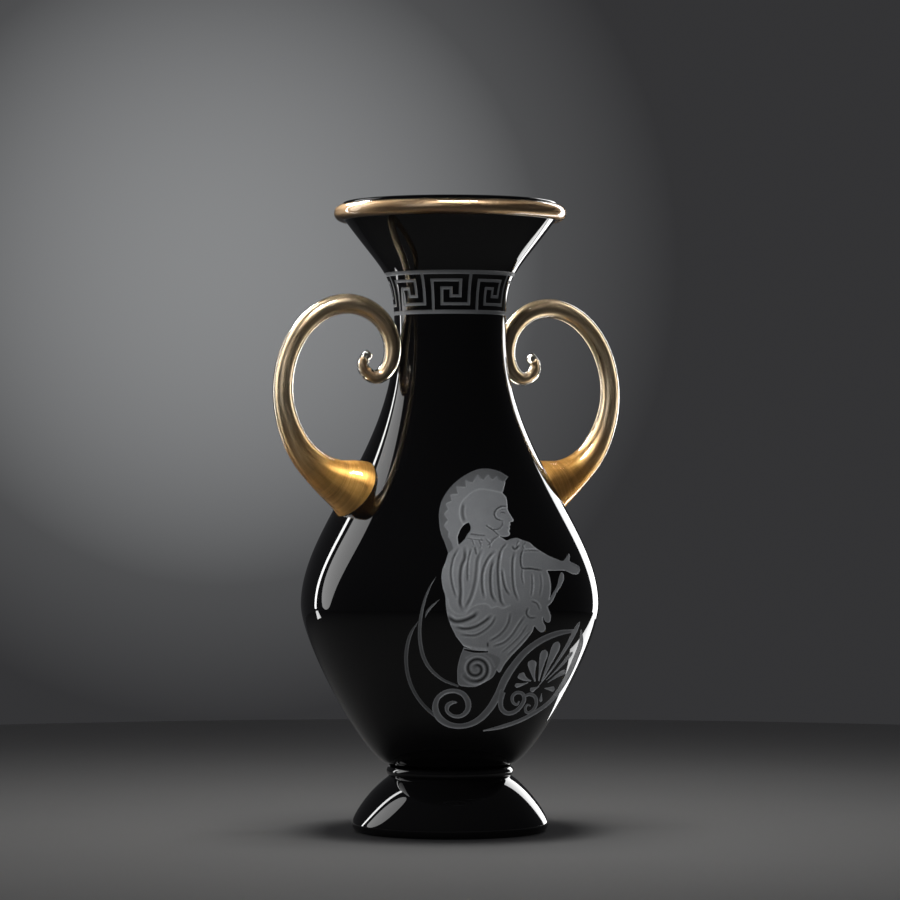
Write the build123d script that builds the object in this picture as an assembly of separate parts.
from build123d import *
from math import cos, degrees, radians, sin
import os

# Two-handled amphora of hot-worked glass: a blown black shell on a flared foot,
# a gold-cored clear wrap round the lip and two gold-cored clear scroll handles.
# Millimetres, +Z up. Origin: centre of the foot, on the ground.
# The handles lie in the XZ plane, the engraved front faces -Y.

# ---- heights, from the ground up ----
FOOT_HEIGHT = 31.0
BEAD_HEIGHT = 5.0
BOWL_HEIGHT = 90.2       # base of the body to its widest point
SHOULDER_HEIGHT = 150.3  # widest point to the narrowest point of the neck
FLARE_HEIGHT = 65.5      # narrowest point to where the flare runs in under the lip wrap
RIM_HEIGHT = 8.0         # black rim standing up behind the lip wrap

# ---- radii ----
STEM_R = 34.6            # body and foot where they meet the bead
BELLY_R = 83.2
NECK_R = 31.1
FLARE_R = 60.2           # outside of the rim
FOOT_R = 54.7

# ---- glass thickness ----
BELLY_WALL = 5.0
NECK_WALL = 4.2
RIM_WALL = 4.0
BASE_THICKNESS = 9.0     # solid glass left at the bottom of the bowl
FOOT_CROWN = 9.0         # solid glass left above the hollow of the foot

# ---- how full each stretch of the body is blown, as shares of its own height ----
BASE_ANGLE = 18.0        # degrees above level as the bowl leaves the bead
BASE_FULLNESS = 0.161
BELLY_FULLNESS_BELOW = 0.233
BELLY_FULLNESS_ABOVE = 0.293
NECK_FULLNESS_BELOW = 0.436
NECK_FULLNESS_ABOVE = 0.547
FLARE_ANGLE = 54.0       # degrees above level as the flare reaches the lip
FLARE_FULLNESS = 0.656
BOWL_FLATNESS = 0.6      # inside of the bowl, as a share of the belly's radius
BASE_EDGE = 1.2          # soft edge where the body sits on the bead
RIM_SOFTNESS = 0.42      # rounding of the rim, as a share of its wall

# ---- joint bead between foot and body ----
BEAD_REVEAL = 0.8        # how far the bead stands proud of the stem
BEAD_SWELL = 1.1         # how far its rounded edge swells

# ---- foot ----
FOOT_TOE_HEIGHT = 4.4    # widest point above the ground
FOOT_TOE = 2.9           # how far the toe tucks in to the ground
FOOT_RIM_WIDTH = 3.4     # width of the ground flat the vase stands on
FOOT_TOP_ANGLE = 36.0    # degrees below level as the foot leaves the bead
FOOT_TOP_PULL = 13.0
FOOT_EDGE_PULL = 4.0
FOOT_HOLLOW_ANGLE = 100.0
FOOT_HOLLOW_PULL = 11.0
FOOT_HOLLOW_FLATNESS = 0.5

# ---- lip wrap: a thread of cased glass laid round the rim ----
LIP_THREAD_R = 4.5       # outside of the clear glass
LIP_CORE_R = 3.1         # gold inside
LIP_DROP = 6.1           # centre of the thread below the top of the rim

# ---- engraved key band on the neck ----
BAND_RISE = 10.2         # lower edge above the narrowest point of the neck
BAND_HEIGHT = 23.8
BAND_BORDER = 2.2
KEY_LINE = 1.6
KEY_UNITS = 8
KEY_GRID = 5             # cells along and up one key
KEY_START_DEG = 1.0      # first key's upright, from the middle of the front
ENGRAVE_DEPTH = 0.35
# One key, as grid points from its lower left corner.
KEY_PATH = ((0, 0), (0, 4), (3, 4), (3, 2), (2, 2), (2, 3), (1, 3), (1, 1), (4, 1), (4, 5))

# ---- scroll handles, right-hand one; the left is its mirror image ----
ROOT_RISE = 64.4         # middle of the root above the widest point of the belly
LEAN_RISE = 78.6         # where the rod leans on the neck, above the root
LEAN_R = 4.8             # radius of the rod there
NECK_BITE = 0.3          # how deep the rod sinks into the neck there
# Stations along the rod: distance out from the straight line between root and
# leaning point, height above the root, radius of the glass.
HANDLE_STATIONS = (
    (-2.9, -2.0, 18.6),      # inside the shoulder, under the root
    (1.7, 0.0, 16.9),        # root, fused to the shoulder
    (12.5, 4.0, 12.4),
    (24.8, 10.0, 9.2),
    (37.5, 18.8, 7.7),       # heel
    (49.8, 31.8, 6.5),
    (60.5, 49.4, 5.6),       # outermost
    (65.4, 67.9, 5.4),
    (62.9, 86.2, 5.4),
    (53.4, 97.8, 5.4),
    (38.3, 101.6, 5.5),      # crown
    (23.8, 97.8, 5.3),
    (12.2, 89.8, 5.0),
    (LEAN_R - NECK_BITE, LEAN_RISE, LEAN_R),
    (2.9, 67.6, 4.5),
    (7.8, 61.7, 3.9),        # bottom of the curl
    (15.4, 64.0, 3.4),
    (19.5, 70.0, 3.0),
    (17.7, 74.0, 2.7),       # sheared tip
)
SECTIONS_PER_SPAN = 2
CORE_ROOT_COVER = 1.0    # clear glass over the gold at the root
CORE_ROD_SHARE = 0.62    # gold radius as a share of the rod's radius
CORE_END_SHARE = 0.34    # the same where the gold runs out
CORE_ROOT_SPAN = 5       # stations over which the root's gold becomes the rod's
CORE_END_SPAN = 3        # stations over which the gold runs out
CORE_LAST_STATION = 15.5

# ---- heights that follow ----
BODY_BASE_Z = FOOT_HEIGHT + BEAD_HEIGHT
BELLY_Z = BODY_BASE_Z + BOWL_HEIGHT
NECK_Z = BELLY_Z + SHOULDER_HEIGHT
FLARE_TOP_Z = NECK_Z + FLARE_HEIGHT
RIM_TOP_Z = FLARE_TOP_Z + RIM_HEIGHT
ROOT_Z = BELLY_Z + ROOT_RISE
LEAN_Z = ROOT_Z + LEAN_RISE
BAND_Z = NECK_Z + BAND_RISE


def pulled(start, start_angle, start_pull, end, end_angle, end_pull):
    """Control points of a curve that leaves and arrives at the given angles."""
    a, b = radians(start_angle), radians(end_angle)
    first = (start[0] + start_pull * cos(a), start[1] + start_pull * sin(a))
    second = (end[0] - end_pull * cos(b), end[1] - end_pull * sin(b))
    return start, first, second, end


def curve(*pulls):
    return Plane.XZ * Bezier(*pulled(*pulls))


def straight(*points):
    return Plane.XZ * Polyline(*points)


def turned(*outline):
    """Solid of revolution about Z from a closed outline in the XZ plane."""
    edges = [edge for piece in outline for edge in piece.edges()]
    return revolve(Face(Wire(edges)), Axis.Z, 360)


def body_side(inset=0.0):
    """The body's outer stretches, base to flare, moved inwards by inset."""
    base = (STEM_R - inset, BODY_BASE_Z + BASE_EDGE)
    belly = (BELLY_R - inset, BELLY_Z)
    neck = (NECK_R - inset, NECK_Z)
    lip = (FLARE_R - inset, FLARE_TOP_Z)
    return (
        (base, BASE_ANGLE, BASE_FULLNESS * BOWL_HEIGHT,
         belly, 90, BELLY_FULLNESS_BELOW * BOWL_HEIGHT),
        (belly, 90, BELLY_FULLNESS_ABOVE * SHOULDER_HEIGHT,
         neck, 90, NECK_FULLNESS_BELOW * SHOULDER_HEIGHT),
        (neck, 90, NECK_FULLNESS_ABOVE * FLARE_HEIGHT,
         lip, FLARE_ANGLE, FLARE_FULLNESS * FLARE_HEIGHT),
    )


def along(points, t, axis):
    """Coordinate of a cubic curve, given by its control points, at share t."""
    a, b, c, d = (p[axis] for p in points)
    u = 1 - t
    return a * u ** 3 + 3 * b * u * u * t + 3 * c * u * t * t + d * t ** 3


def body_radius(z):
    """Outer radius of the body at height z."""
    for stretch in body_side():
        points = pulled(*stretch)
        if z > points[3][1]:
            continue
        low, high = 0.0, 1.0
        while high - low > 1e-6:
            middle = (low + high) / 2
            if along(points, middle, 1) < z:
                low = middle
            else:
                high = middle
        return along(points, low, 0)
    return FLARE_R


def envelope(inset=0.0):
    """The body as if it were solid glass, its side moved inwards by inset."""
    bottom = straight((0, BODY_BASE_Z), (STEM_R - BASE_EDGE - inset, BODY_BASE_Z),
                      (STEM_R - inset, BODY_BASE_Z + BASE_EDGE))
    top = straight((FLARE_R - inset, FLARE_TOP_Z), (FLARE_R - inset, RIM_TOP_Z),
                   (0, RIM_TOP_Z), (0, BODY_BASE_Z))
    return turned(bottom, *[curve(*stretch) for stretch in body_side(inset)], top)


def cavity():
    """The space inside the blown body, open at the mouth."""
    floor = (0, BODY_BASE_Z + BASE_THICKNESS)
    belly = (BELLY_R - BELLY_WALL, BELLY_Z)
    neck = (NECK_R - NECK_WALL, NECK_Z)
    mouth = (FLARE_R - RIM_WALL, RIM_TOP_Z - RIM_WALL / 2)
    above = RIM_TOP_Z + RIM_WALL
    return turned(
        curve(floor, 0, BOWL_FLATNESS * BELLY_R,
              belly, 90, BELLY_FULLNESS_BELOW * BOWL_HEIGHT),
        curve(belly, 90, BELLY_FULLNESS_ABOVE * SHOULDER_HEIGHT,
              neck, 90, NECK_FULLNESS_BELOW * SHOULDER_HEIGHT),
        curve(neck, 90, NECK_FULLNESS_ABOVE * FLARE_HEIGHT,
              mouth, FLARE_ANGLE, FLARE_FULLNESS * FLARE_HEIGHT),
        straight(mouth, (mouth[0], above), (0, above), floor),
    )


def key_band():
    """Cutter for the Greek key and its two border lines, ENGRAVE_DEPTH deep."""
    key_low = BAND_Z + BAND_BORDER / 2
    cell_z = (BAND_HEIGHT - BAND_BORDER) / KEY_GRID
    cell_deg = 360 / KEY_UNITS / KEY_GRID
    half_line = KEY_LINE / 2
    half_deg = degrees(half_line / body_radius(BAND_Z + BAND_HEIGHT / 2))

    def stroke(begin, end):
        """Wedge through the neck wall under one straight stroke of the key."""
        from_deg = min(begin[0], end[0]) * cell_deg - half_deg
        to_deg = max(begin[0], end[0]) * cell_deg + half_deg
        low = key_low + min(begin[1], end[1]) * cell_z - half_line
        high = key_low + max(begin[1], end[1]) * cell_z + half_line
        wedge = Cylinder(FLARE_R, high - low, arc_size=to_deg - from_deg,
                         align=(Align.NONE, Align.NONE, Align.MIN))
        return Rot(0, 0, from_deg) * Pos(0, 0, low) * wedge

    strokes = [stroke(begin, end) for begin, end in zip(KEY_PATH, KEY_PATH[1:])]
    key = strokes[0].fuse(*strokes[1:])
    border = Cylinder(FLARE_R, BAND_BORDER, align=(Align.CENTER, Align.CENTER, Align.MIN))
    lower = Pos(0, 0, BAND_Z) * border
    upper = Pos(0, 0, BAND_Z + BAND_HEIGHT - BAND_BORDER) * border
    front = -90 + KEY_START_DEG
    keys = [Rot(0, 0, front + n * 360 / KEY_UNITS) * key for n in range(KEY_UNITS)]
    return lower.fuse(upper, *keys) - envelope(ENGRAVE_DEPTH)


def smooth(t):
    t = min(max(t, 0.0), 1.0)
    return t * t * (3 - 2 * t)


def station_points():
    """The handle's stations as (x, z), tied to the shoulder and the neck."""
    root_r, lean_r = body_radius(ROOT_Z), body_radius(LEAN_Z)
    inward = (lean_r - root_r) / LEAN_RISE
    return [(root_r + inward * up + out, ROOT_Z + up) for out, up, _ in HANDLE_STATIONS]


def glass_radius(s):
    """Radius of the handle's glass at station number s, whole or between."""
    n = min(int(s), len(HANDLE_STATIONS) - 2)
    share = s - n
    return HANDLE_STATIONS[n][2] * (1 - share) + HANDLE_STATIONS[n + 1][2] * share


def gold_radius(s):
    """Radius of the gold core at station number s."""
    at_root = glass_radius(s) - CORE_ROOT_COVER
    to_rod = smooth((s - 1) / CORE_ROOT_SPAN)
    to_end = smooth((s - CORE_LAST_STATION + CORE_END_SPAN) / CORE_END_SPAN)
    share = CORE_ROD_SHARE * (1 - to_end) + CORE_END_SHARE * to_end
    return at_root * (1 - to_rod) + glass_radius(s) * share * to_rod


def scroll(radius_at, last):
    """Round rod of changing radius that follows the handle's stations up to last."""
    points = station_points()
    spine = Plane.XZ * Spline(*points)
    knots = [spine.param_at_point((x, 0, z)) for x, z in points]
    sections = []
    steps = int(last * SECTIONS_PER_SPAN)
    for step in range(steps + 1):
        s = step * last / steps
        n = min(int(s), len(knots) - 2)
        u = knots[n] + (knots[n + 1] - knots[n]) * (s - n)
        across = Plane(origin=spine @ u, x_dir=(0, 1, 0), z_dir=spine % u)
        sections.append(across * Circle(radius_at(s)))
    return loft(sections)


# ---- blown body ----
solid_body = envelope()
open_body = solid_body - cavity()
rim_edges = open_body.edges().filter_by(GeomType.CIRCLE).group_by(Axis.Z)[-1]
vessel_body = fillet(rim_edges, RIM_WALL * RIM_SOFTNESS) - key_band()

# ---- joint bead ----
bead_r = STEM_R + BEAD_REVEAL
bead_edge_r = bead_r - BEAD_SWELL
joint_bead = turned(
    straight((0, FOOT_HEIGHT), (bead_edge_r, FOOT_HEIGHT)),
    Plane.XZ * ThreePointArc((bead_edge_r, FOOT_HEIGHT),
                             (bead_r, FOOT_HEIGHT + BEAD_HEIGHT / 2),
                             (bead_edge_r, BODY_BASE_Z)),
    straight((bead_edge_r, BODY_BASE_Z), (0, BODY_BASE_Z), (0, FOOT_HEIGHT)),
)

# ---- foot ----
foot_shoulder = (STEM_R, FOOT_HEIGHT - BEAD_SWELL / 2)
foot_widest = (FOOT_R, FOOT_TOE_HEIGHT)
rest_outer = (FOOT_R - FOOT_TOE, 0)
rest_inner = (rest_outer[0] - FOOT_RIM_WIDTH, 0)
hollow_top = (0, FOOT_HEIGHT - FOOT_CROWN)
foot = turned(
    straight(hollow_top, (0, FOOT_HEIGHT), (STEM_R - BEAD_SWELL / 2, FOOT_HEIGHT), foot_shoulder),
    curve(foot_shoulder, -FOOT_TOP_ANGLE, FOOT_TOP_PULL, foot_widest, -90, FOOT_EDGE_PULL),
    curve(foot_widest, -90, FOOT_TOE_HEIGHT / 2, rest_outer, 180, FOOT_TOE / 2),
    straight(rest_outer, rest_inner),
    curve(rest_inner, FOOT_HOLLOW_ANGLE, FOOT_HOLLOW_PULL,
          hollow_top, 180, FOOT_HOLLOW_FLATNESS * rest_inner[0]),
)

# ---- lip wrap ----
lip_line = Pos(0, 0, RIM_TOP_Z - LIP_DROP)
lip_core = lip_line * Torus(FLARE_R, LIP_CORE_R) - solid_body
lip_casing = lip_line * Torus(FLARE_R, LIP_THREAD_R) - solid_body - lip_core

# ---- handles ----
handle_right_core = scroll(gold_radius, CORE_LAST_STATION) - solid_body
handle_right_casing = (scroll(glass_radius, len(HANDLE_STATIONS) - 1)
                       - solid_body - handle_right_core)
handle_left_core = mirror(handle_right_core, about=Plane.YZ)
handle_left_casing = mirror(handle_right_casing, about=Plane.YZ)

os.makedirs("parts", exist_ok=True)
for name, solid in (
    ("vessel_body", vessel_body),
    ("joint_bead", joint_bead),
    ("foot", foot),
    ("lip_core", lip_core),
    ("lip_casing", lip_casing),
    ("handle_left_core", handle_left_core),
    ("handle_left_casing", handle_left_casing),
    ("handle_right_core", handle_right_core),
    ("handle_right_casing", handle_right_casing),
):
    export_step(solid, f"parts/{name}.step")
